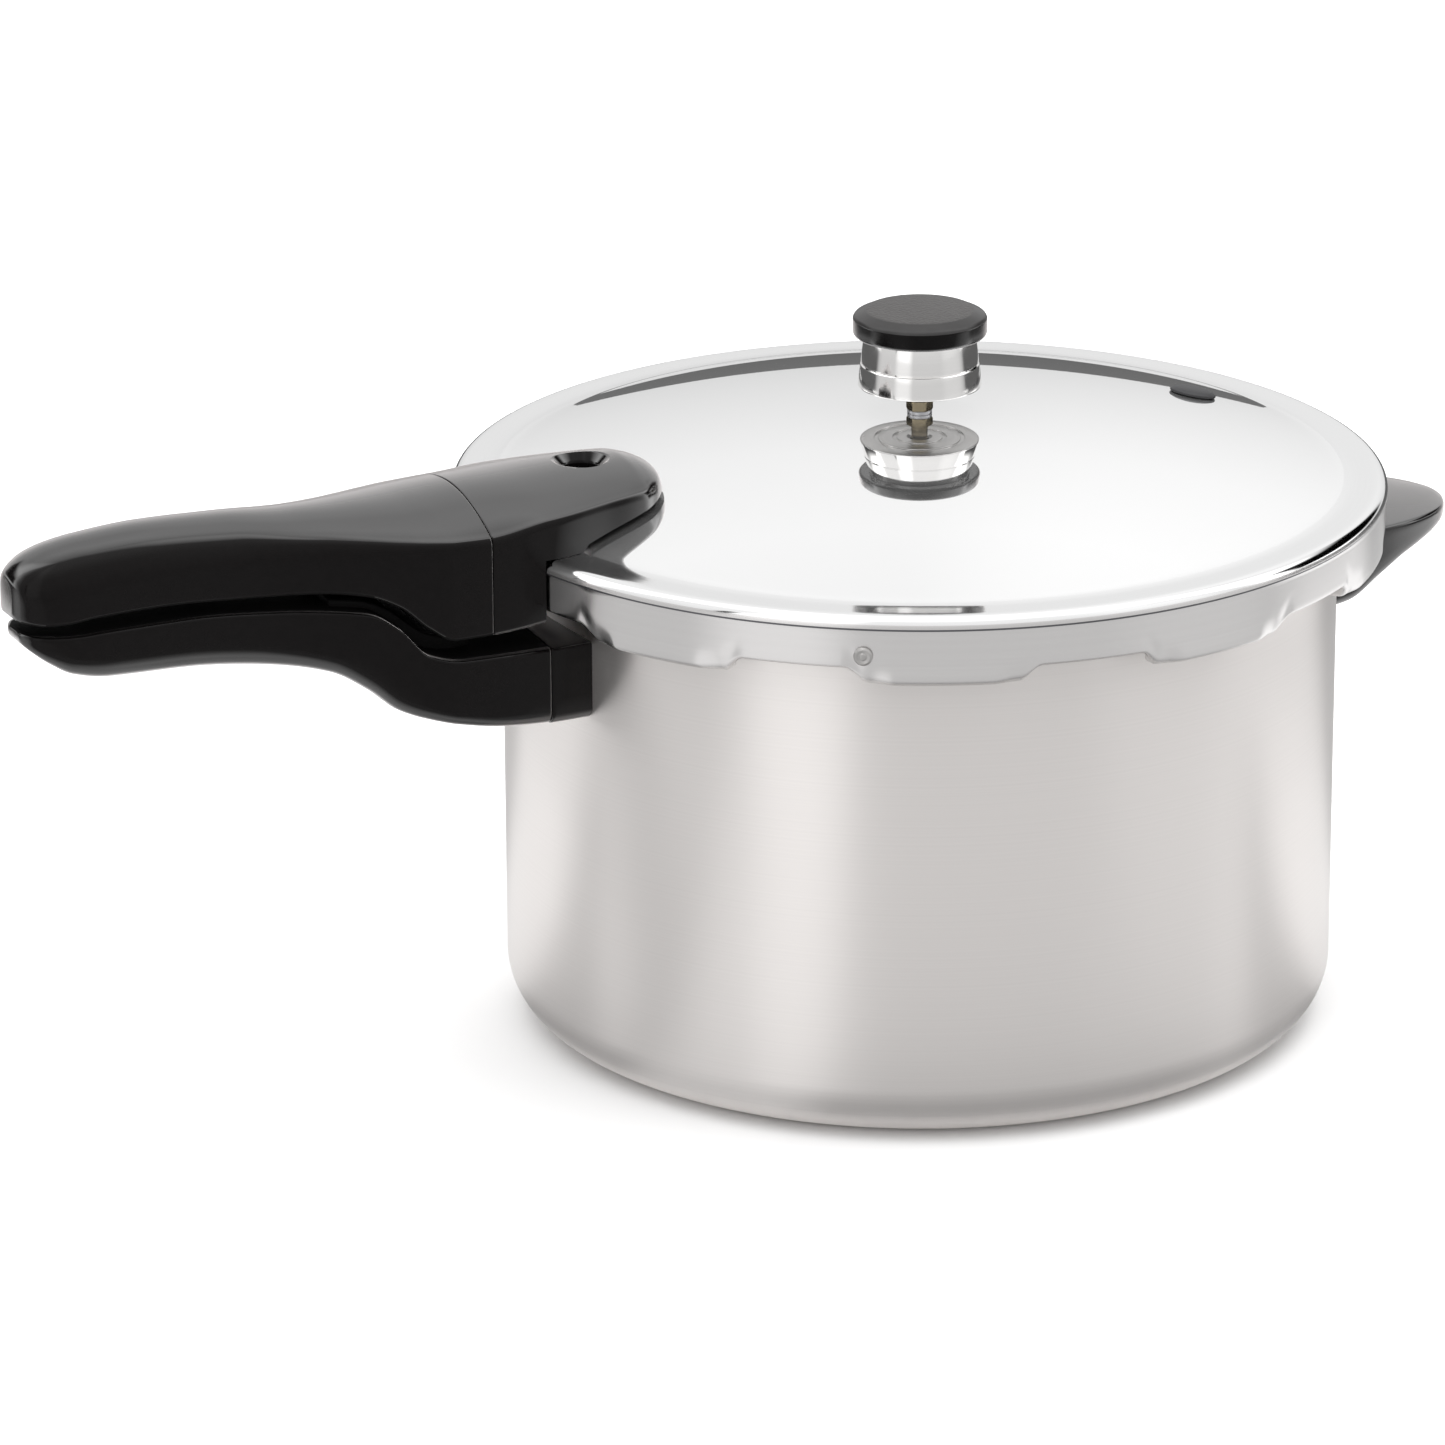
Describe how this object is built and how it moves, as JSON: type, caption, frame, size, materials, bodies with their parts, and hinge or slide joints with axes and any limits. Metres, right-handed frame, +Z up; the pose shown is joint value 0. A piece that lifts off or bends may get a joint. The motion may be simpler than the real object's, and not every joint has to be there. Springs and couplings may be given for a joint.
{
  "type": "stovetop pressure cooker",
  "caption": "Round aluminium stovetop pressure cooker with a domed bayonet cover, paired long black handles, a helper handle and a weight regulator on a vent pipe.",
  "frame": {"origin": "centre of the pot's flat base, on the surface it stands on", "axes": "+Z up, -X along the two long handles, +X towards the helper handle"},
  "size_m": [0.4268, 0.254, 0.1976],
  "materials": {
    "satin_aluminium": "satin, finely brushed around the wall",
    "polished_aluminium": "mirror polished top, softer skirt",
    "chrome": "polished",
    "nickel": "nickel-washed, satin",
    "rivet_metal": "plain",
    "steel": "plain",
    "black_phenolic": "moulded, glossy",
    "grained_black": "glossy edge, grained top",
    "black_rubber": "smooth rubber"
  },
  "bodies": {
    "pot": {"pot_body": "satin_aluminium", "locking_bracket": "steel", "body_handle_bracket": "steel", "body_handle_mount": "black_phenolic", "body_handle_grip": "black_phenolic", "body_handle_screw": "steel", "helper_bracket": "steel", "helper_handle": "black_phenolic", "helper_handle_screw": "steel"},
    "cover": {"lid_shell": "polished_aluminium", "stop_rivet": "rivet_metal", "sealing_ring": "black_rubber", "vent_pipe": "nickel", "vent_pipe_washer": "steel", "vent_pipe_nut": "nickel", "overpressure_plug": "black_rubber", "cover_handle_bracket": "steel", "cover_handle_front": "black_phenolic", "cover_handle_grip": "black_phenolic", "cover_handle_screws": "steel"},
    "air_vent": {"air_vent_pin": "steel", "air_vent_gasket": "black_rubber", "air_vent_clip": "steel"},
    "regulator": {"regulator_weight": "chrome", "regulator_cap": "grained_black"},
    "rack": {"cooking_rack": "satin_aluminium"}
  },
  "joints": [
    {"name": "cover_turn", "type": "hinge", "parent": "pot", "child": "cover", "pos_m": [0, 0, 0.1518], "axis": [0, 0, -1], "range_deg": [0, 17]},
    {"name": "air_vent_rise", "type": "slide", "parent": "cover", "child": "air_vent", "axis": [0, 0, 1], "range_m": [0, 0.004]},
    {"name": "regulator_lift", "type": "slide", "parent": "cover", "child": "regulator", "axis": [0, 0, 1], "range_m": [0, 0.03]},
    {"name": "rack_lift", "type": "slide", "parent": "pot", "child": "rack", "axis": [0, 0, 1], "range_m": [0, 0.1]}
  ]
}
